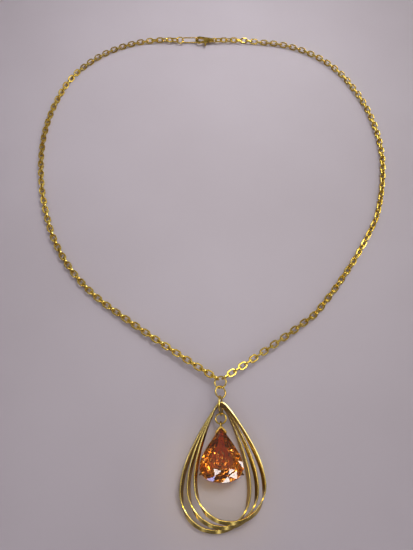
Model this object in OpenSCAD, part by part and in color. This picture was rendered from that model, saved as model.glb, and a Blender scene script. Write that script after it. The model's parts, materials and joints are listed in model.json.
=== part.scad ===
// Pendant necklace lying on a table: a cable chain closed by a lobster clasp, and a pendant of
// three fanned ribbon loops with a pear-cut stone that hangs free inside them.
// Millimetres. +Z is up, +Y runs from the pendant to the clasp, z = 0 is the table.

/* [Chain] */
// Width of a chain link's filed wire, across its flats
link_wire = 0.55; // [0.45:0.05:0.6]
// Outer width of a chain link
link_w = 2.4; // [2.3:0.1:2.8]
// Longest step from one link to the next
link_pitch = 2.25; // [2.1:0.05:2.6]
// Play between two pieces that hook into each other
link_play = 0.1; // [0.06:0.02:0.2]
// Bevel on the four edges of the filed wire
wire_bevel = 0.14; // [0.08:0.02:0.18]

/* [Rings] */
// Wire of the round jump rings
ring_wire = 0.5; // [0.4:0.05:0.6]
// Cut left in a closed jump ring, in degrees
ring_cut = 3; // [1:1:8]
// Outer diameter of the ring that both chain ends hook into
centre_ring_d = 4.3; // [4:0.1:4.8]
// Outer diameter of the ring between the centre ring and the frame's ring
hanger_ring_d = 4.3; // [4:0.1:4.8]
// Inner length of the long ring round the frame's tip
frame_ring_l = 5.6; // [5.2:0.1:6.4]
// Outer diameter of the ring that carries the stone
drop_ring_d = 3.8; // [3.6:0.1:4]
// Outer diameter of the ring at the clasp's tail
tail_ring_d = 2.6; // [2.4:0.1:3.2]
// Outer diameter of the ring at the chain's free end
end_ring_d = 3.5; // [3.2:0.1:4.2]

/* [Ribbon frame] */
// Length of the middle ribbon loop
loop_l = 36; // [32:0.2:42]
// Width of each ribbon loop between the middles of its sides
loop_w = 20.2; // [19.4:0.2:24]
// How much longer the left loop is than the middle one, and the right one shorter
loop_step = 1; // [0:0.1:1.6]
// Angle between neighbouring loops, in degrees
fan_step = 4.9; // [4.4:0.1:6]
// Lean of the whole frame to the right, in degrees
fan_lean = 0.8; // [0:0.1:3]
// Thickness of the ribbon
ribbon_t = 0.42; // [0.3:0.02:0.5]
// Width of the ribbon at the tip, where it stands on edge
ribbon_tip_w = 1.4; // [1:0.1:1.6]
// Width of the ribbon along the sides
ribbon_side_w = 2.2; // [1.6:0.1:2.6]
// Width of the ribbon round the bottom
ribbon_low_w = 1.4; // [1:0.1:1.6]
// Outward flare of the ribbon at the tip, in degrees
tip_flare = 8; // [0:1:16]
// Outward flare of the ribbon along the sides, in degrees
side_flare = 22; // [14:1:32]
// Inward flare of the ribbon round the bottom, in degrees
low_flare = 44; // [20:1:50]
// Solder gap between two stacked ribbons
ribbon_gap = 0.05; // [0.04:0.01:0.1]
// Play between the frame's tip and its ring
tip_play = 0.16; // [0.12:0.02:0.3]
// Least room between the stone, with its prongs, and a loop that is lifted past it
stone_room = 0.2; // [0.1:0.05:0.4]

/* [Stone] */
// Length of the stone
stone_l = 16.2; // [14:0.1:18]
// Width of the stone
stone_w = 13.2; // [11:0.1:13.6]
// Height of the crown above the girdle
crown_h = 2.1; // [1.4:0.1:2.6]
// Depth of the pavilion below the girdle
pavilion_h = 4; // [3.4:0.1:4.6]
// Height of the girdle band
girdle_h = 0.3; // [0.2:0.05:0.5]
// Width of the table as a share of the girdle
table_share = 0.54; // [0.45:0.01:0.62]
// Height of the stone's lowest point above the table
culet_z = 0.3; // [0.1:0.1:1]

/* [Setting] */
// Wall of the gallery and of the tip prong
setting_wall = 0.5; // [0.4:0.05:0.7]
// Height of the gallery rail
gallery_h = 0.8; // [0.6:0.1:1.2]
// Size of the gallery as a share of the girdle
gallery_share = 0.76; // [0.66:0.01:0.8]
// Wire of the two side prongs
prong_d = 0.5; // [0.4:0.05:0.7]
// Clearance between the stone and the metal that holds it
seat_gap = 0.05; // [0.04:0.01:0.1]
// Outer width of the setting's loop
setting_loop_w = 2.1; // [2:0.1:2.6]

/* [Clasp] */
// Outer radius of the claw
claw_r = 1.9; // [1.7:0.05:2.2]
// Wall of the claw
claw_wall = 0.75; // [0.6:0.05:0.85]
// Thickness of the clasp
clasp_t = 1.5; // [1.4:0.05:1.7]
// Distance from the claw's centre to the tail's eye
tail_reach = 5.55; // [5.4:0.05:6.4]
// Radius of the rounded tail
tail_r = 0.85; // [0.8:0.05:1]
// Thickness of the flattened tail
tail_t = 0.9; // [0.7:0.05:1]
// Diameter of the lever's pin
pin_d = 0.6; // [0.5:0.05:0.7]
// Thickness of the lever
lever_t = 0.7; // [0.5:0.05:0.75]
// Running clearance of the lever and its pin
lever_gap = 0.06; // [0.04:0.01:0.1]
// How far the lever opens, in degrees
lever_open = 24; // [16:1:26]
// Thickness of the spring leaf behind the lever
spring_t = 0.12; // [0.08:0.01:0.16]
// Inner length of the long link that the claw hooks
eye_link_l = 6.6; // [5.8:0.1:7]

/* [Layout] */
// Distance of the pendant to the right of the loop's middle
pendant_x = 2.5; // [0:0.5:5]
// Distance of the centre ring below the middle of the necklace
ring_drop = 57.4; // [56:0.2:60]
// Distance of the claw to the left of the loop's middle
clasp_x = 5; // [4:0.2:6]
// Distance of the clasp above the middle of the necklace
clasp_rise = 99.7; // [99:0.1:100.5]

/* [Hidden] */
$fn = 32;
gold = "#d8b04a";
pale_gold = "#e6c873";
amber = "#c4561c";

// Rolls of the pendant's rings about Y, about half a right angle apart so that each hooks freely
centre_roll = -18;
hanger_roll = 34;
frame_roll = 78;
drop_roll = frame_roll - 90;

// Where each jump ring's cut starts, in degrees
centre_cut = 15;
hanger_cut = 170;
drop_cut = 200;
tail_cut = 60;
end_cut = 250;

// Directions, seen from the centre ring, in which the two chain ends leave it
left_hook_angle = 128;
right_hook_angle = 52;

function mix(a, b, t) = a + (b - a) * t;
function to_micron(v) = round(v * 1000) / 1000;
function ramp(a, b, v) = let (t = min(1, max(0, (v - a) / (b - a)))) t * t * (3 - 2 * t);
function inner_r(d) = d / 2 - ring_wire;
function total(list, n) = n <= 0 ? 0 : list[n - 1] + total(list, n - 1);

// Pear outline
// The tip is at the origin and the round end at y = -l. The sharpness is the share of the width
// that is left at the tip. The angle u runs from the tip down the right side and back up the left.
function pear_a(tip) = (1 + tip) / 2;
function pear_b(tip) = (1 - tip) / 2;
function pear_peak(tip) =
    let (a = pear_a(tip), b = pear_b(tip))
    let (c = (a - sqrt(a * a + 8 * b * b)) / (4 * b))
    sqrt(1 - c * c) * (a - b * c);
function pear(u, w, l, tip) =
    [w / 2 * sin(u) * (pear_a(tip) - pear_b(tip) * cos(u)) / pear_peak(tip),
     -l * (1 - cos(u)) / 2];
function pear_normal(u, w, l, tip) =
    let (dx = w / 2 * (pear_a(tip) * cos(u) - pear_b(tip) * cos(2 * u)) / pear_peak(tip))
    let (dy = -l / 2 * sin(u))
    [-dy, dx] / norm([dx, dy]);

// Heights of the ribbon frame
low_depth = ribbon_low_w * cos(low_flare) + ribbon_t * sin(low_flare);
tip_depth = ribbon_tip_w * cos(tip_flare) + ribbon_t * sin(tip_flare);
tip_level = tip_depth + ribbon_gap;
low_level = low_depth + ribbon_gap;
side_level = (tip_level + low_level) / 2;
frame_ring_w = 2 * tip_level + tip_depth + 2 * tip_play + 2 * ring_wire;
// Values of a ribbon at the angle v from its tip, where it stands on edge, flares and crosses
flare_span = [20, 70];
widen_span = [50, 100];
turn_span = [118, 156];
function over(span, v) = ramp(span[0], span[1], v);
function strip(tip, side, low, v) = mix(mix(tip, side, over(widen_span, v)), low, over(turn_span, v));
function strip_flare(v) =
    mix(mix(tip_flare, side_flare, over(flare_span, v)), -low_flare, over(turn_span, v));
function strip_width(v) = strip(ribbon_tip_w, ribbon_side_w, ribbon_low_w, v);
function strip_level(v) = strip(tip_level, side_level, low_level, v);
function strip_depth(v) = strip_width(v) * cos(strip_flare(v)) + ribbon_t * abs(sin(strip_flare(v)));
function strip_spread(v) = strip_width(v) * abs(sin(strip_flare(v))) + ribbon_t * cos(strip_flare(v));
frame_z = max(frame_ring_w / 2, max([for (v = [0:3:180]) strip_level(v) + strip_depth(v) / 2]));

// Places down the pendant's axis: each hook-up leaves the play between two wires
tip_share = 0.43;
ring_y = -ring_drop;
hanger_y = ring_y - inner_r(centre_ring_d) - inner_r(hanger_ring_d) + link_play;
frame_ring_top = hanger_y - inner_r(hanger_ring_d) + link_play;
frame_ring_low = frame_ring_top - frame_ring_l;
tip_y = frame_ring_top - frame_ring_l * tip_share;
drop_y = frame_ring_low - inner_r(drop_ring_d) + link_play;
setting_top = drop_y - inner_r(drop_ring_d) + link_play;

// Stone and setting
stone_tip_gap = 1.9;
stone_y = setting_top - stone_tip_gap;
stone_tip = 0.16;
girdle_z = culet_z + pavilion_h;
stone_mid_share = 0.58;
stone_mid = [0, -stone_l * stone_mid_share];
prong_u = 133;
prong_lap = 0.2;
prong_stand = 2 * seat_gap;
prong_rise = 0.4;
tip_prong_u = 36;
tip_prong_rise = 0.5;
tip_lip_share = 0.97;

// Loop outline: as pointed as loop_point, or fuller where the stone and its prongs need the room
loop_point = 0.26;
point_step = 0.02;
function turned(p, a) = [p.x * cos(a) + p.y * sin(a), p.y * cos(a) - p.x * sin(a)];
function loop_room(rank, tip, p) =
    let (q = turned([p.x, stone_y - tip_y + p.y], fan_lean + rank * fan_step))
    let (l = loop_l - rank * loop_step, v = acos(max(-1, 1 + 2 * q.y / l)))
    pear(v, loop_w, l, tip).x - strip_spread(v) / 2 - abs(q.x);
function prong_reach(u) =
    pear(u, stone_w, stone_l, stone_tip)
    + (prong_d + seat_gap + prong_stand) * pear_normal(u, stone_w, stone_l, stone_tip);
stone_edge = concat([prong_reach(prong_u)],
                    [for (u = [50:10:150]) pear(u, stone_w, stone_l, stone_tip)]);
function least_room(tip) =
    min([for (rank = [-1, 1], p = stone_edge) loop_room(rank, tip, [-rank * p.x, p.y])]);
function fitted_tip(tip) =
    tip > 1 || least_room(tip) > stone_room ? tip : fitted_tip(tip + point_step);
loop_tip = fitted_tip(loop_point);

// Chain route
// Each side is eight runs of links between hinge points. Four runs on each side swing, and the runs
// between them keep their direction, so that the clasp stays fastened while the chain moves.
swing_a = [-37, 26];
swing_b = [-6, 32];
swing_c = [32, 23.6];
swing_d = [6.2, 28.7];
one_link = link_pitch * 0.98;
up = [0, one_link];
up_right = one_link * [cos(64), sin(64)];
up_left = one_link * [cos(116), sin(116)];
left_stay = [-26, 37];
right_stay = [25.8, 38.6];
left_steps = [swing_a, left_stay, swing_b, 3 * up, swing_d, up_right, swing_c];
right_steps = [swing_c, right_stay, swing_d, up, swing_b, 2 * up_left, swing_a];
// Bulge of each run's arc, as a share of its chord
left_bulges = [0.009, 0.08, 0.034, 0, 0.044, 0, 0.115, 0.03];
right_bulges = [-0.0125, -0.028, -0.034, 0, -0.052, 0, -0.144, -0.03];
left_rolls = [0, 5, 20, 45, 45, 45, 45, 45, 0];
right_rolls = [5, 30, 42, 45, 45, 45, 45, 45, 0];

// A link's axis rests at this height above the table when it is rolled by the given angle
wire_reach = norm([link_wire / 2, link_wire / 2 - wire_bevel]);
function axis_z(roll) =
    wire_reach + (link_w - link_wire) / 2 * max(abs(sin(roll)), abs(cos(roll)));
// What the links between two hinge points need above the straight line between those heights
function roll_lift(r0, r1, t) = axis_z(mix(r0, r1, t)) - mix(axis_z(r0), axis_z(r1), t);

// Clasp places
eye_play = 0.26;
clasp_z = clasp_t / 2 + eye_play + ring_wire;
hook = [-clasp_x, clasp_rise, clasp_z];
hook_inner = claw_r - claw_wall;
hook_play = 0.2;
eye_link_w = 2 * clasp_z;
tail_mean = (tail_ring_d - ring_wire) / 2;
tail_ring_x = hook.x + tail_reach + tail_mean - link_play / 2;
eye_right = hook.x - hook_inner + hook_play;
eye_left = eye_right - eye_link_l;
end_ring_x = eye_left + link_play - inner_r(end_ring_d);
end_roll = 14;

// Chain ends
function ring_hook(angle) =
    let (r = inner_r(centre_ring_d) - link_play)
    [pendant_x + r * cos(angle) * cos(centre_roll), ring_y + r * sin(angle),
     frame_z - r * cos(angle) * sin(centre_roll)];
left_end = [end_ring_x - inner_r(end_ring_d) + link_play / 2, clasp_rise, clasp_z];
right_end = [tail_ring_x + inner_r(tail_ring_d) - link_play / 2, clasp_rise, clasp_z];

// Hinge points of one side, from the centre ring to the clasp
function with_z(p, z) = [p.x, p.y, z];
function hinge_points(start, steps, rolls, end) =
    [for (i = 0, p = start; i <= len(steps) + 1;
          p = i < len(steps) ? with_z(p + [steps[i].x, steps[i].y, 0], axis_z(rolls[i + 1])) : end,
          i = i + 1) p];

// A run is a shallow arc from p to q that bulges to the left of its way by a share of its chord
function arc_share(bulge) = 1 / (8 * bulge) + bulge / 2;
function run_length(p, q, bulge) =
    let (c = norm([q.x - p.x, q.y - p.y]), b = abs(bulge))
    b == 0 ? c : let (r = arc_share(b)) 2 * asin(0.5 / r) * PI / 180 * r * c;
function run_count(p, q, bulge) = max(1, ceil(run_length(p, q, bulge) / link_pitch));
function run_point(p, q, bulge, t) =
    let (way = [q.x - p.x, q.y - p.y], c = norm(way), d = way / c, n = [-d.y, d.x])
    let (b = abs(bulge) * c, s = sign(bulge), z = mix(p.z, q.z, t))
    b == 0 ? mix(p, q, t)
    : let (r = arc_share(abs(bulge)) * c, a = asin(c / 2 / r) * (2 * t - 1))
      with_z([p.x, p.y] + way / 2 + n * s * (b - r) + r * (n * s * cos(a) + d * sin(a)), z);

// Links in each run. The long top run takes one more where that is needed for the chain's last link
// to stand across the ring that it hooks: an odd sum on the left, an even one on the right.
top_run = 6;
function run_counts(pts, bulges, odd) =
    let (base = [for (i = [0:len(bulges) - 1]) run_count(pts[i], pts[i + 1], bulges[i])])
    let (extra = (total(base, len(base)) + odd) % 2)
    [for (i = [0:len(base) - 1]) base[i] + (i == top_run ? extra : 0)];

left_points = hinge_points(ring_hook(left_hook_angle), left_steps, left_rolls, left_end);
right_points = hinge_points(ring_hook(right_hook_angle), right_steps, right_rolls, right_end);
left_counts = run_counts(left_points, left_bulges, 1);
right_counts = run_counts(right_points, right_bulges, 0);

// Filed wire: a square with bevelled edges
module wire_section(w, bevel) {
    h = w / 2;
    k = h - bevel;
    polygon([[h, -k], [h, k], [k, h], [-k, h], [-h, k], [-h, -k], [-k, -h], [k, -h]]);
}

// One link, flat in XY with its length along X
module link(inner_l, outer_w, w, bevel) {
    r = (outer_w - w) / 2;
    half = to_micron((inner_l + 2 * w - outer_w) / 2);
    for (s = [-1, 1]) {
        translate([s * half, 0, 0])
            rotate([0, 0, -90 * s])
                rotate_extrude(angle = 180)
                    translate([r, 0])
                        wire_section(w, bevel);
        translate([0, s * r, 0])
            rotate([90, 0, 90])
                linear_extrude(2 * half, center = true)
                    wire_section(w, bevel);
    }
}

module link_between(p, q, roll) {
    way = q - p;
    flat = norm([way.x, way.y]);
    translate((p + q) / 2)
        rotate([0, -atan2(way.z, flat), atan2(way.y, way.x)])
            rotate([roll, 0, 0])
                link(link_pitch + link_play, link_w, link_wire, wire_bevel);
}

module chain_run(points, bulges, rolls, counts, i) {
    n = counts[i];
    first = total(counts, i);
    hooks = [for (t = [0:1 / n:1 + 0.5 / n])
             run_point(points[i], points[i + 1], bulges[i], t)
             + [0, 0, roll_lift(rolls[i], rolls[i + 1], t)]];
    color(gold)
        for (j = [0:n - 1])
            link_between(hooks[j], hooks[j + 1],
                         mix(rolls[i], rolls[i + 1], (j + 0.5) / n) + 90 * ((first + j + 1) % 2));
}

// Round jump ring with its cut, flat in XY
module jump_ring(d, cut_at) {
    rotate([0, 0, cut_at])
        rotate_extrude(angle = 360 - ring_cut)
            translate([(d - ring_wire) / 2, 0])
                circle(d = ring_wire);
}

// Long ring of round wire, flat in XY with its length along Y
module long_ring(inner_l, outer_w) {
    r = (outer_w - ring_wire) / 2;
    half = to_micron((inner_l + 2 * ring_wire - outer_w) / 2);
    for (s = [-1, 1]) {
        translate([0, s * half, 0])
            rotate([0, 0, s > 0 ? 0 : 180])
                rotate_extrude(angle = 180)
                    translate([r, 0])
                        circle(d = ring_wire);
        translate([s * r, 0, 0])
            rotate([90, 0, 0])
                cylinder(d = ring_wire, h = 2 * half, center = true);
    }
}

module centre_ring() {
    color(gold)
        translate([pendant_x, ring_y, frame_z])
            rotate([0, centre_roll, 0])
                jump_ring(centre_ring_d, centre_cut);
}

module hanger_ring() {
    color(gold)
        translate([pendant_x, hanger_y, frame_z])
            rotate([0, hanger_roll, 0])
                jump_ring(hanger_ring_d, hanger_cut);
}

module frame_ring() {
    color(gold)
        translate([pendant_x, (frame_ring_top + frame_ring_low) / 2, frame_z])
            rotate([0, frame_roll, 0])
                long_ring(frame_ring_l, frame_ring_w);
}

module drop_ring() {
    color(gold)
        translate([pendant_x, drop_y, frame_z])
            rotate([0, drop_roll, 0])
                jump_ring(drop_ring_d, drop_cut);
}

// Ribbon loop: a strip that stands on edge at the tip, flares outwards down the sides and inwards
// round the bottom. The rank is -1, 0 or 1 for the left, middle and right loop, from the back.
ribbon_steps = 96;
function from_tip(u) = u <= 180 ? u : 360 - u;
function ribbon_corner(u, rank, a, b) =
    let (v = from_tip(u), l = loop_l - rank * loop_step)
    let (c = pear(u, loop_w, l, loop_tip), n = pear_normal(u, loop_w, l, loop_tip))
    let (flare = strip_flare(v), w = strip_width(v) / 2 * a, t = ribbon_t / 2 * b)
    let (out = w * sin(flare) + t * cos(flare), up = w * cos(flare) - t * sin(flare))
    [c.x + n.x * out, c.y + n.y * out, rank * strip_level(v) + up];

module ribbon_loop(rank) {
    corners = [[1, 1], [1, -1], [-1, -1], [-1, 1]];
    points = [for (i = [0:ribbon_steps - 1], k = corners)
              ribbon_corner(i * 360 / ribbon_steps, rank, k[0], k[1])];
    faces = [for (i = [0:ribbon_steps - 1], k = [0:3], half = [0, 1])
             let (j = (i + 1) % ribbon_steps, m = (k + 1) % 4)
             half == 0 ? [4 * i + k, 4 * j + m, 4 * i + m] : [4 * i + k, 4 * j + k, 4 * j + m]];
    color(pale_gold)
        translate([pendant_x, tip_y, frame_z])
            rotate([0, 0, fan_lean + rank * fan_step])
                polyhedron(points, faces);
}

module ribbon_left() ribbon_loop(-1);
module ribbon_middle() ribbon_loop(0);
module ribbon_right() ribbon_loop(1);

// Stone: a pear brilliant with table, star, kite and girdle facets above, and long main facets with
// pairs of girdle facets between them below
function stone_outline(u, share) =
    stone_mid + share * (pear(u, stone_w, stone_l, stone_tip) - stone_mid);
stone_sides = 12;
kite_share = (1 + table_share) / 2;
kite_rise = 0.58;
half_share = 0.32;

module stone() {
    n = stone_sides;
    fine = 180 / n;
    half_z = -pavilion_h * (1 - half_share * cos(fine));
    table_ring = [for (i = [0:n - 1]) with_z(stone_outline(2 * i * fine, table_share), crown_h)];
    kite_ring = [for (i = [0:n - 1])
                 with_z(stone_outline((2 * i + 1) * fine, kite_share), crown_h * kite_rise)];
    upper = [for (i = [0:2 * n - 1]) with_z(stone_outline(i * fine, 1), girdle_h / 2)];
    lower = [for (i = [0:2 * n - 1]) with_z(stone_outline(i * fine, 1), -girdle_h / 2)];
    half_ring = [for (i = [0:n - 1]) with_z(stone_outline((2 * i + 1) * fine, half_share), half_z)];
    keel = [with_z(stone_mid, -pavilion_h)];
    k0 = n;
    u0 = 2 * n;
    l0 = 4 * n;
    h0 = 6 * n;
    c0 = 7 * n;
    faces = concat(
        [[for (i = [0:n - 1]) i]],
        [for (i = [0:n - 1]) [k0 + i, (i + 1) % n, i]],
        [for (i = [0:n - 1]) [k0 + i, k0 + (i + 1) % n, (i + 1) % n]],
        [for (i = [0:n - 1]) [u0 + 2 * i + 1, k0 + i, u0 + 2 * i]],
        [for (i = [0:n - 1]) [u0 + (2 * i + 2) % (2 * n), k0 + i, u0 + 2 * i + 1]],
        [for (i = [0:n - 1]) let (j = (2 * i + 2) % (2 * n)) [u0 + j, k0 + (i + 1) % n, k0 + i]],
        [for (i = [0:2 * n - 1]) let (j = (i + 1) % (2 * n)) [l0 + i, l0 + j, u0 + j]],
        [for (i = [0:2 * n - 1]) let (j = (i + 1) % (2 * n)) [l0 + i, u0 + j, u0 + i]],
        [for (i = [0:n - 1]) [h0 + i, l0 + 2 * i + 1, l0 + 2 * i]],
        [for (i = [0:n - 1]) [h0 + i, l0 + (2 * i + 2) % (2 * n), l0 + 2 * i + 1]],
        [for (i = [0:n - 1]) [c0, h0 + i, l0 + 2 * i]],
        [for (i = [0:n - 1]) [c0, l0 + (2 * i + 2) % (2 * n), h0 + i]]);
    color(amber)
        translate([pendant_x, stone_y, girdle_z])
            polyhedron(concat(table_ring, kite_ring, upper, lower, half_ring, keel), faces);
}

// Gallery: a pear-shaped rail under the stone, which the prongs stand on
rail_share = 2 * setting_wall / stone_w;

module gallery() {
    steps = 48;
    color(gold)
        translate([pendant_x, stone_y, 0])
            linear_extrude(gallery_h)
                difference() {
                    polygon([for (i = [0:steps - 1]) stone_outline(i * 360 / steps, gallery_share)]);
                    polygon([for (i = [0:steps - 1])
                             stone_outline(i * 360 / steps, gallery_share - rail_share)]);
                }
}

// Tip prong: a V-shaped wall from the gallery up round the stone's tip, closing over its crown
function tip_wall(u, share, grow) =
    stone_outline(u, share) + grow * pear_normal(u, stone_w, stone_l, stone_tip);

module tip_prong() {
    steps = 10;
    top_z = girdle_z + girdle_h / 2 + tip_prong_rise;
    levels = [[gallery_share, seat_gap, gallery_h + seat_gap],
              [1, seat_gap, girdle_z - girdle_h / 2],
              [1, seat_gap, girdle_z + girdle_h / 2],
              [tip_lip_share, seat_gap, top_z]];
    per = 2 * (steps + 1);
    angle = [for (i = [0:steps]) tip_prong_u * (2 * i / steps - 1)];
    points = [for (k = levels, side = [0, 1], i = [0:steps])
              let (u = angle[side == 0 ? i : steps - i], grow = k[1] + (1 - side) * setting_wall)
              with_z(tip_wall(u, k[0], grow), k[2])];
    last = (len(levels) - 1) * per;
    faces = concat(
        [for (k = [0:len(levels) - 2], i = [0:per - 1], half = [0, 1])
         let (a = k * per, b = a + per, j = (i + 1) % per)
         half == 0 ? [a + i, b + j, b + i] : [a + i, a + j, b + j]],
        [for (i = [0:steps - 1]) [i, per - 1 - i, per - 2 - i]],
        [for (i = [0:steps - 1]) [i, per - 2 - i, i + 1]],
        [for (i = [0:steps - 1]) [last + i, last + i + 1, last + per - 2 - i]],
        [for (i = [0:steps - 1]) [last + i, last + per - 2 - i, last + per - 1 - i]]);
    color(gold)
        translate([pendant_x, stone_y, 0])
            polyhedron(points, faces);
}

// Side prong: a wire from the gallery up past the girdle, bent over the crown
module side_prong(u) {
    out = pear_normal(u, stone_w, stone_l, stone_tip);
    edge = pear(u, stone_w, stone_l, stone_tip);
    reach = prong_d / 2 + seat_gap;
    foot = with_z(stone_outline(u, gallery_share - rail_share / 2), gallery_h + reach);
    shoulder = with_z(edge + out * (reach + prong_stand), girdle_z);
    claw = with_z(edge - out * prong_lap, girdle_z + girdle_h / 2 + reach + prong_rise);
    color(gold)
        translate([pendant_x, stone_y, 0])
            for (pair = [[foot, shoulder], [shoulder, claw]])
                hull()
                    for (p = pair)
                        translate(p)
                            sphere(d = prong_d, $fn = 16);
}

module left_prong() side_prong(360 - prong_u);
module right_prong() side_prong(prong_u);

// Loop on the setting, which hangs on the drop ring and ends at the tip prong's outer face
tip_share_at_loop = mix(gallery_share, 1, (frame_z - gallery_h) / (girdle_z - gallery_h));
prong_face = stone_y + (1 - tip_share_at_loop) * stone_mid.y + seat_gap + setting_wall;
loop_stand = 6 * seat_gap;
setting_loop_l = to_micron(setting_top - prong_face - ring_wire - loop_stand);

module setting_loop() {
    color(gold)
        translate([pendant_x, setting_top - setting_loop_l / 2, frame_z])
            rotate([0, frame_roll, 0])
                long_ring(setting_loop_l, setting_loop_w);
}

// Outline round two circles, such as a claw that narrows to its tail
function two_circle_outline(p, r, q, s) =
    let (d = norm(q - p), lean = acos((r - s) / d), way = atan2(q.y - p.y, q.x - p.x), steps = 14)
    concat([for (i = [0:2 * steps]) let (a = way + lean + i * (180 - lean) / steps)
            p + r * [cos(a), sin(a)]],
           [for (i = [0:2 * steps]) let (a = way - lean + i * lean / steps)
            q + s * [cos(a), sin(a)]]);

module two_circle_plate(p, r, q, s, h) {
    linear_extrude(h, center = true)
        polygon(two_circle_outline(p, r, q, s));
}

// The same plate with a bevel round both faces
module bevelled_plate(p, r, q, s, h, bevel) {
    hull() {
        two_circle_plate(p, r, q, s, h - 2 * bevel);
        two_circle_plate(p, r - bevel, q, s - bevel, h);
    }
}

// Clasp: places in its own plane, with the claw's centre as origin and the tail along X
claw_centre = [0, 0];
tail_centre = [tail_reach, 0];
pivot_r = 0.7;
pivot = [tail_reach - tail_r - 1.45, -0.55];
lever_tip_r = 0.36;
lever_tip = [0.85, -claw_r + lever_tip_r + 0.22];
tab_root_r = 0.5;
tab_root = pivot + [-0.9, -0.5];
tab_end_r = 0.36;
tab_end = pivot + [-0.7, -2.4];
claw_bevel = 0.35;
mouth_bevel = 0.3;
mouth_end_r = 0.5;
mouth_end = pivot + [-1.3, 0.8];
heel_r = pivot_r + 2 * lever_gap + spring_t;
slot_t = lever_t + 2 * lever_gap;
pin_fit = 0.02;
tail_eye_play = 0.34;
tail_eye_d = ring_wire + tail_eye_play;
// Tall enough to cut right through the clasp
through = 2 * clasp_t;

module at_clasp() {
    translate(hook)
        children();
}

module lever_outline(grow, h) {
    two_circle_plate(pivot, pivot_r + grow, lever_tip, lever_tip_r + grow, h);
}

module clasp_body() {
    tang_x = pivot.x + heel_r + lever_gap + 0.2;
    claw_end_x = lever_tip.x - lever_tip_r - lever_gap;
    cheek = (clasp_t - tail_t) / 2 + 1;
    color(gold)
        at_clasp()
            difference() {
                bevelled_plate(claw_centre, claw_r, tail_centre, tail_r, clasp_t, claw_bevel);
                // mouth of the claw, bevelled on both faces
                two_circle_plate(claw_centre, hook_inner, mouth_end, mouth_end_r, through);
                for (s = [-1, 1])
                    translate([0, 0, s * clasp_t / 2])
                        hull() {
                            two_circle_plate(claw_centre, hook_inner,
                                             mouth_end, mouth_end_r, 2 * mouth_bevel);
                            two_circle_plate(claw_centre, hook_inner + mouth_bevel,
                                             mouth_end, mouth_end_r + mouth_bevel / 3, 0.02);
                        }
                // gap that the lever closes, from the claw's end to the cheeks
                linear_extrude(through, center = true)
                    polygon([[claw_end_x, -claw_r - 1], [claw_end_x, 0], mouth_end,
                             pivot + [-0.8, 0.6], pivot + [-0.5, -claw_r - 1]]);
                // slot for the lever over its whole swing, and for the spring behind it
                for (a = [0, lever_open / 2, lever_open])
                    translate(pivot)
                        rotate([0, 0, -a])
                            translate(-pivot)
                                lever_outline(lever_gap, slot_t);
                translate(pivot)
                    cylinder(r = heel_r + lever_gap, h = slot_t, center = true);
                // pin hole
                translate(pivot)
                    cylinder(d = pin_d + pin_fit, h = through, center = true);
                // flattened tail with its eye
                for (s = [-1, 1])
                    translate([tang_x, -claw_r, s * (tail_t / 2 + cheek / 2) - cheek / 2])
                        cube([tail_reach, 2 * claw_r, cheek]);
                translate(tail_centre)
                    cylinder(d = tail_eye_d, h = through, center = true);
            }
}

module clasp_lever() {
    color(pale_gold)
        at_clasp()
            difference() {
                union() {
                    lever_outline(0, lever_t);
                    two_circle_plate(tab_root, tab_root_r, tab_end, tab_end_r, lever_t);
                }
                translate(pivot)
                    cylinder(d = pin_d + 2 * lever_gap, h = through, center = true);
            }
}

module clasp_pin() {
    color(pale_gold)
        at_clasp()
            translate(pivot)
                cylinder(d = pin_d, h = clasp_t, center = true);
}

// Spring: a curved leaf behind the lever's round heel
module clasp_spring() {
    color("silver")
        at_clasp()
            translate(pivot)
                rotate([0, 0, -25])
                    rotate_extrude(angle = 120)
                        translate([pivot_r + lever_gap, -lever_t / 2])
                            square([spring_t, lever_t]);
}

module tail_ring() {
    color(gold)
        translate([tail_ring_x, hook.y, hook.z])
            rotate([90, 0, 0])
                jump_ring(tail_ring_d, tail_cut);
}

module eye_link() {
    color(gold)
        translate([(eye_left + eye_right) / 2, hook.y, hook.z])
            rotate([0, -90, -90])
                long_ring(eye_link_l, eye_link_w);
}

module end_ring() {
    color(gold)
        translate([end_ring_x, hook.y, hook.z])
            rotate([end_roll, 0, 0])
                jump_ring(end_ring_d, end_cut);
}

for (i = [0:7]) {
    chain_run(left_points, left_bulges, left_rolls, left_counts, i);
    chain_run(right_points, right_bulges, right_rolls, right_counts, i);
}
centre_ring();
hanger_ring();
frame_ring();
drop_ring();
ribbon_left();
ribbon_middle();
ribbon_right();
stone();
gallery();
tip_prong();
left_prong();
right_prong();
setting_loop();
clasp_body();
clasp_lever();
clasp_pin();
clasp_spring();
tail_ring();
eye_link();
end_ring();
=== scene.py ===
"""Looks of the pendant necklace: polished gold, a faceted amber stone, and pale paper under soft light."""
import json
import math

import bpy
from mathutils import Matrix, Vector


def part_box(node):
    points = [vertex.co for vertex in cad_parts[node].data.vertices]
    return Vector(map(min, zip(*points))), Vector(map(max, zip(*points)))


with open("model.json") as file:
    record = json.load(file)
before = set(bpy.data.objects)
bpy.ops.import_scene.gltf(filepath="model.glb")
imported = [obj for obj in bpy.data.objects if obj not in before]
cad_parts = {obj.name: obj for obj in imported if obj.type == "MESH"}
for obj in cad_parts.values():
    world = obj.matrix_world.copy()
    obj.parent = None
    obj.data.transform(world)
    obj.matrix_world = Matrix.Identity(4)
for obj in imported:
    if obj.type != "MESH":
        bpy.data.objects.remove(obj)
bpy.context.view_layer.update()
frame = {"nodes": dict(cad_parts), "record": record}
NODES = frame["nodes"]
SLOT_OF = {part["node"]: part["material_slot"] for part in frame["record"]["subparts"]}
MM = 0.001

# Colours

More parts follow.
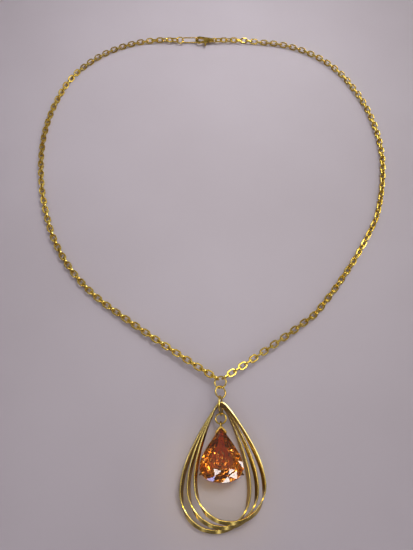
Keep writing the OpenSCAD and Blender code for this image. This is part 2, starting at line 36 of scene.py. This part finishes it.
GOLD_DEEP = (0.62, 0.41, 0.05)
GOLD_BRIGHT = (0.90, 0.70, 0.17)
# Ribbon colours: painted shade on the walls, painted light on the up-facing edges
RIBBON_SHADED_WALL = (0.40, 0.24, 0.05)
RIBBON_LIT_EDGE = (0.88, 0.71, 0.25)
# Setting colours: a darker copy of the gold, as painted shade
SHADED_SETTING_DEEP = (0.34, 0.20, 0.04)
SHADED_SETTING_BRIGHT = (0.62, 0.44, 0.12)
# Clasp colours: a darker copy of the gold, as painted shade
SHADED_CLASP_DEEP = (0.42, 0.26, 0.04)
SHADED_CLASP_BRIGHT = (0.82, 0.62, 0.15)
STEEL_DARK = (0.42, 0.42, 0.43)
STEEL_BRIGHT = (0.62, 0.62, 0.62)
AMBER = [(0.4, (0.78, 0.075, 0.01)), (0.75, (0.88, 0.23, 0.015)), (1.0, (0.94, 0.50, 0.10))]
PAPER = [(0.3, (0.515, 0.461, 0.511)), (0.7, (0.565, 0.511, 0.569))]
BLACK = (0.0, 0.0, 0.0)


# Small helpers for node trees

def new_material(name):
    """A new material: (material, node tree, principled shader)."""
    material = bpy.data.materials.new(name)
    material.use_nodes = True
    tree = material.node_tree
    return material, tree, tree.nodes["Principled BSDF"]


def coordinates(tree, kind):
    """Coordinates of the named kind; Object ones stay with the piece, in metres."""
    return tree.nodes.new("ShaderNodeTexCoord").outputs[kind]


def axes_of(tree, vector):
    """The X, Y and Z of a vector."""
    node = tree.nodes.new("ShaderNodeSeparateXYZ")
    tree.links.new(vector, node.inputs["Vector"])
    return node.outputs


def stretched(tree, vector, scale):
    """The coordinates scaled by axis, for marks that run one way."""
    mapping = tree.nodes.new("ShaderNodeMapping")
    mapping.inputs["Scale"].default_value = scale
    tree.links.new(vector, mapping.inputs["Vector"])
    return mapping.outputs["Vector"]


def noise(tree, vector, per_mm, detail=3.0):
    """Noise from 0 to 1 with so many features per millimetre."""
    node = tree.nodes.new("ShaderNodeTexNoise")
    node.inputs["Scale"].default_value = per_mm / MM
    node.inputs["Detail"].default_value = detail
    tree.links.new(vector, node.inputs["Vector"])
    return node.outputs["Fac"]


def cells(tree, vector, scale, distance="EUCLIDEAN"):
    """Distance to the middle of the nearest of many scattered cells."""
    node = tree.nodes.new("ShaderNodeTexVoronoi")
    node.distance = distance
    node.inputs["Scale"].default_value = scale
    tree.links.new(vector, node.inputs["Vector"])
    return node.outputs["Distance"]


def ramp(tree, factor, stops):
    """Colours along a factor; stops are (place, rgb)."""
    node = tree.nodes.new("ShaderNodeValToRGB")
    elements = node.color_ramp.elements
    while len(elements) < len(stops):
        elements.new(0.5)
    for element, (at, rgb) in zip(elements, stops):
        element.position = at
        element.color = (*rgb, 1.0)
    tree.links.new(factor, node.inputs["Fac"])
    return node.outputs["Color"]


def between(tree, factor, low, high, start=0.3, stop=0.7):
    """A number that goes from low to high as the factor goes from start to stop."""
    node = tree.nodes.new("ShaderNodeMapRange")
    tree.links.new(factor, node.inputs["Value"])
    for name, value in (("From Min", start), ("From Max", stop), ("To Min", low), ("To Max", high)):
        node.inputs[name].default_value = value
    return node.outputs["Result"]


def worked_out(tree, operation, *values):
    """The result of an operation on numbers and on values from other nodes."""
    node = tree.nodes.new("ShaderNodeMath")
    node.operation = operation
    for socket, value in zip(node.inputs, values):
        if isinstance(value, bpy.types.NodeSocket):
            tree.links.new(value, socket)
        else:
            socket.default_value = value
    return node.outputs["Value"]


def summed(tree, *colours):
    """The sum of two or more colours."""
    total = colours[0]
    for colour in colours[1:]:
        node = tree.nodes.new("ShaderNodeVectorMath")
        tree.links.new(total, node.inputs[0])
        tree.links.new(colour, node.inputs[1])
        total = node.outputs["Vector"]
    return total


def bumped(tree, height, shader, strength, depth_mm):
    """Fine relief on the shader's normal."""
    node = tree.nodes.new("ShaderNodeBump")
    node.inputs["Strength"].default_value = strength
    node.inputs["Distance"].default_value = depth_mm * MM
    tree.links.new(height, node.inputs["Height"])
    tree.links.new(node.outputs["Normal"], shader.inputs["Normal"])


# Materials

def polish_marks(tree, where, shader, rough, per_mm, grain, relief):
    """Metal with faint marks: they vary its roughness and stand out a little."""
    marks = noise(tree, stretched(tree, where, grain), per_mm, detail=5.0)
    tree.links.new(between(tree, marks, *rough), shader.inputs["Roughness"])
    bumped(tree, marks, shader, relief, depth_mm=0.02)
    shader.inputs["Metallic"].default_value = 1.0


def metal(name, dark, bright, rough, tone_per_mm=0.7, marks_per_mm=6.0, grain=(1, 1, 1), relief=0.05):
    """Polished plate whose tone drifts a little between dark and bright."""
    material, tree, shader = new_material(name)
    where = coordinates(tree, "Object")
    tone = noise(tree, where, tone_per_mm)
    tree.links.new(ramp(tree, tone, [(0.35, dark), (0.65, bright)]), shader.inputs["Base Color"])
    polish_marks(tree, where, shader, rough, marks_per_mm, grain, relief)
    return material


def clasp_metal(name, dark, bright, rough):
    """Cast metal that was brushed along X."""
    return metal(name, dark, bright, rough, tone_per_mm=0.5, marks_per_mm=3.0, grain=(0.2, 1, 1), relief=0.01)


def strip_metal(name, shaded_wall, lit_edge, rough):
    """Strip whose walls carry painted shade and whose up-facing edges carry painted light: the more a face
    looks up, the brighter its colour.
    """
    material, tree, shader = new_material(name)
    where = coordinates(tree, "Object")
    faces_up = axes_of(tree, coordinates(tree, "Normal"))["Z"]
    # Painted light: the base colour brightens as a face turns up, and the walls stay dark as painted shade
    painted_light = between(tree, faces_up, 0.0, 0.8, start=0.3, stop=0.9)
    tone = worked_out(tree, "MULTIPLY_ADD", noise(tree, where, 0.25), 0.25, painted_light)
    tree.links.new(ramp(tree, tone, [(0.1, shaded_wall), (0.8, lit_edge)]), shader.inputs["Base Color"])
    polish_marks(tree, where, shader, rough, per_mm=5.0, grain=(1, 1, 0.2), relief=0.1)
    return material


def girdle_height():
    """Height of the middle of the stone's girdle, the band where it is widest."""
    corners = [corner.co for corner in NODES["stone"].data.vertices]
    widest = max(corner.x for corner in corners)
    band = [corner.z for corner in corners if corner.x > widest - 0.01 * MM]
    return (min(band) + max(band)) / 2


def small_facets(tree, where, height, shader):
    """Many small facets under the girdle, which break up what shows through the stone."""
    girdle = girdle_height()
    below = between(tree, height, 0.6, 0.0, start=girdle - 0.2 * MM, stop=girdle)
    facets = cells(tree, where, 0.6 / MM, "MANHATTAN")
    bumped(tree, worked_out(tree, "MULTIPLY", facets, below), shader, strength=0.8, depth_mm=0.45)


def crystal(name):
    """Clear orange crystal, redder towards its tip."""
    material, tree, shader = new_material(name)
    where = coordinates(tree, "Object")
    axes = axes_of(tree, where)
    low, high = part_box("stone")
    to_tip = between(tree, axes["Y"], 0.75, 0.25, start=low[1], stop=high[1])
    tone = worked_out(tree, "MULTIPLY_ADD", noise(tree, where, 0.3), 0.5, to_tip)
    tree.links.new(ramp(tree, tone, AMBER), shader.inputs["Base Color"])
    small_facets(tree, where, axes["Z"], shader)
    shader.inputs["Roughness"].default_value = 0.0
    shader.inputs["IOR"].default_value = 1.62
    shader.inputs["Transmission Weight"].default_value = 0.97
    return material


def paper(name):
    """Pale lilac-grey paper with a fine fibre."""
    material, tree, shader = new_material(name)
    where = coordinates(tree, "Object")
    tree.links.new(ramp(tree, noise(tree, where, 0.012), PAPER), shader.inputs["Base Color"])
    fibre = noise(tree, where, 1.5, detail=6.0)
    tree.links.new(between(tree, fibre, 0.72, 0.86), shader.inputs["Roughness"])
    bumped(tree, fibre, shader, strength=0.15, depth_mm=0.05)
    return material


def make_materials():
    """One material for each of the record's slots; the pairs of numbers are the range of roughness."""
    return {
        "chain_gold": metal("chain_gold", GOLD_DEEP, GOLD_BRIGHT, (0.10, 0.30)),
        "ring_gold": metal("ring_gold", GOLD_DEEP, GOLD_BRIGHT, (0.10, 0.26)),
        "ribbon_gold": strip_metal("ribbon_gold", RIBBON_SHADED_WALL, RIBBON_LIT_EDGE, (0.12, 0.26)),
        "setting_gold": metal("setting_gold", SHADED_SETTING_DEEP, SHADED_SETTING_BRIGHT, (0.12, 0.28)),
        "clasp_gold": clasp_metal("clasp_gold", SHADED_CLASP_DEEP, SHADED_CLASP_BRIGHT, (0.08, 0.16)),
        "spring_steel": metal("spring_steel", STEEL_DARK, STEEL_BRIGHT, (0.2, 0.4)),
        "stone": crystal("stone"),
    }


def dress(materials):
    """Gives every node the material of its slot."""
    for name, node in NODES.items():
        node.data.materials.clear()
        node.data.materials.append(materials[SLOT_OF[name]])


# Polish: facets are blended and edges rounded, as a polishing wheel leaves them

# Rounding of each polished node's edges, in millimetres
ROUNDING = {
    "ribbon_left": 0.1, "ribbon_middle": 0.1, "ribbon_right": 0.1,
    "clasp_body": 0.12, "clasp_lever": 0.12,
    "tip_prong": 0.05, "gallery": 0.05,
}
WELD_REACH = 0.001 * MM
SHARP_ANGLE = math.radians(30)
ROUNDED_ANGLE = math.radians(40)


def blend_facets():
    """Node group that shades a mesh smooth and keeps its sharp edges."""
    group = bpy.data.node_groups.new("blend_facets", "GeometryNodeTree")
    for way in ("INPUT", "OUTPUT"):
        group.interface.new_socket("Geometry", in_out=way, socket_type="NodeSocketGeometry")
    new, link = group.nodes.new, group.links.new
    start, end = new("NodeGroupInput"), new("NodeGroupOutput")
    angle, sharp = new("GeometryNodeInputMeshEdgeAngle"), new("FunctionNodeCompare")
    normals = new("GeometryNodeSetMeshNormal")
    sharp.inputs["B"].default_value = SHARP_ANGLE
    normals.inputs["Remove Custom"].default_value = True
    link(angle.outputs["Unsigned Angle"], sharp.inputs["A"])
    link(sharp.outputs["Result"], normals.inputs["Edge Sharpness"])
    link(start.outputs["Geometry"], normals.inputs["Mesh"])
    link(normals.outputs["Mesh"], end.inputs["Geometry"])
    return group


def polish():
    """Welds, blends and rounds the polished nodes without touching their meshes."""
    group = blend_facets()
    for name, rounding in ROUNDING.items():
        modifiers = NODES[name].modifiers
        modifiers.new("weld", "WELD").merge_threshold = WELD_REACH
        modifiers.new("blend", "NODES").node_group = group
        bevel = modifiers.new("round", "BEVEL")
        bevel.width = rounding * MM
        bevel.segments = 3
        bevel.limit_method = "ANGLE"
        bevel.angle_limit = ROUNDED_ANGLE
        bevel.harden_normals = True


# Stage, in metres and watts

PAPER_HALF = 3.0
WARM_WHITE = (1.0, 0.99, 0.95)
# Lights over the table: name, place, size, power, colour, the point they face, spread in degrees
LIGHTS = [
    ("window", (0.08, 0.17, 0.30), 0.14, 0.054, (1.0, 1.0, 1.0), (-0.02, 0.12, 0.0), 50),
    ("lamp", (0.10, 0.05, 0.32), 0.16, 0.032, WARM_WHITE, (-0.015, -0.055, 0.0), 46),
    ("fill", (0.36, 0.3, 0.45), 0.4, 0.5, (1.0, 0.97, 0.95), (0.0, 0.0, 0.0), 180),
    ("side", (0.28, 0.10, 0.14), 0.16, 0.01, (1.0, 1.0, 0.95), (0.12, 0.07, 0.0), 30),
    ("back", (0.22, 0.38, 0.30), 0.20, 0.008, (0.95, 1.0, 0.8), (0.10, 0.08, 0.0), 22),
    ("glow", (0.0, -0.088, 0.07), 0.03, 0.00035, (1.0, 0.75, 0.1), (0.0, -0.088, 0.0), 20),
]
# Small lights that glint in the stone: name, azimuth and elevation in degrees, size, power, colour
SPARKLES = [
    ("sparkle_right", -50, 35, 0.06, 0.14, (1.0, 0.98, 0.96)),
    ("sparkle_left", -105, 46, 0.05, 0.09, (1.0, 0.98, 1.0)),
    ("sparkle_blue", -114, 31, 0.04, 0.06, (0.45, 0.5, 1.0)),
    ("sparkle_low", -80, 29, 0.03, 0.04, (1.0, 0.95, 0.9)),
    ("sparkle_side", 15, 13, 0.05, 0.09, (1.0, 1.0, 1.0)),
]
SPARKLE_DISTANCE = 0.45
STONE_MIDDLE = tuple((a + b) / 2 for a, b in zip(*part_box("stone")))
# The room that the gold mirrors: its ceiling, its far side and its lamps
CEILING = [(0.0, (0.05, 0.037, 0.025)), (0.3, (0.06, 0.05, 0.042)), (0.7, (0.20, 0.19, 0.20)),
           (1.0, (0.32, 0.30, 0.32))]
FAR_SIDE = [(0.0, BLACK), (0.5, (0.12, 0.11, 0.10)), (1.0, (0.26, 0.24, 0.22))]
ROOM_LAMPS = [(0.14, (1.9, 1.8, 1.6)), (0.2, BLACK)]
LAMP_SCALE = 3.0
BACKDROP = (0.25, 0.23, 0.245)
# The photograph's viewpoint, found from the constant pitch of the chain
CAMERA_AT = (-1.95 * MM, -116.0 * MM, 189.2 * MM)
CAMERA_TILT = math.radians(27.6)
FOCAL_PX = 600.0
LONG_SIDE_PX = 550.0
SENSOR_MM = 36.0


def add_object(name, data):
    """A new object in the scene."""
    thing = bpy.data.objects.new(name, data)
    bpy.context.scene.collection.objects.link(thing)
    return thing


def make_floor():
    """The sheet of paper that the necklace lies on."""
    corners = [(x * PAPER_HALF, y * PAPER_HALF, 0) for x, y in ((-1, -1), (1, -1), (1, 1), (-1, 1))]
    mesh = bpy.data.meshes.new("paper")
    mesh.from_pydata(corners, [], [(0, 1, 2, 3)])
    mesh.materials.append(paper("paper"))
    add_object("paper", mesh)


def area_light(name, at, size, watts, colour, aim, spread=180):
    """A soft square light that faces a point, with its spread in degrees."""
    data = bpy.data.lights.new(name, "AREA")
    data.energy = watts
    data.spread = math.radians(spread)
    data.size = size
    data.color = colour
    light = add_object(name, data)
    light.visible_camera = False
    light.location = at
    way = [a - b for a, b in zip(aim, at)]
    tilt = math.atan2(math.hypot(way[0], way[1]), -way[2])
    light.rotation_euler = (tilt, 0.0, math.atan2(way[1], way[0]) - math.pi / 2)


def seen_from_stone(azimuth, elevation):
    """The place of a small light in a direction, in degrees, as seen from the stone."""
    a, e = math.radians(azimuth), math.radians(elevation)
    way = (math.cos(e) * math.cos(a), math.cos(e) * math.sin(a), math.sin(e))
    return tuple(m + SPARKLE_DISTANCE * w for m, w in zip(STONE_MIDDLE, way))


def make_lights():
    """The lights over the table, and those that glint in the stone."""
    for light in LIGHTS:
        area_light(*light)
    for name, azimuth, elevation, size, watts, colour in SPARKLES:
        area_light(name, seen_from_stone(azimuth, elevation), size, watts, colour, STONE_MIDDLE)


def make_world():
    """A dim warm room with a bright far side and small lamps, in front of a plain pale backdrop."""
    world = bpy.data.worlds.new("room")
    world.use_nodes = True
    tree = world.node_tree
    way = coordinates(tree, "Generated")
    axes = axes_of(tree, way)
    lamps = ramp(tree, cells(tree, way, LAMP_SCALE), ROOM_LAMPS)
    room = summed(tree, ramp(tree, axes["Z"], CEILING), ramp(tree, axes["Y"], FAR_SIDE), lamps)
    seen = tree.nodes.new("ShaderNodeMix")
    seen.data_type = "RGBA"
    tree.links.new(tree.nodes.new("ShaderNodeLightPath").outputs["Is Camera Ray"], seen.inputs["Factor"])
    tree.links.new(room, seen.inputs["A"])
    seen.inputs["B"].default_value = (*BACKDROP, 1.0)
    tree.links.new(seen.outputs["Result"], tree.nodes["Background"].inputs["Color"])
    bpy.context.scene.world = world


def make_camera():
    """A camera at the photograph's viewpoint."""
    data = bpy.data.cameras.new("camera")
    data.sensor_fit = "AUTO"
    data.sensor_width = SENSOR_MM
    data.lens = FOCAL_PX / LONG_SIDE_PX * SENSOR_MM
    data.clip_start = 0.01
    camera = add_object("camera", data)
    camera.location = CAMERA_AT
    camera.rotation_euler = (CAMERA_TILT, 0.0, 0.0)
    bpy.context.scene.camera = camera


def make_stage():
    """Paper, room, lights and camera."""
    make_floor()
    make_world()
    make_lights()
    make_camera()
    bpy.context.scene.view_settings.view_transform = "Standard"


dress(make_materials())
polish()
make_stage()
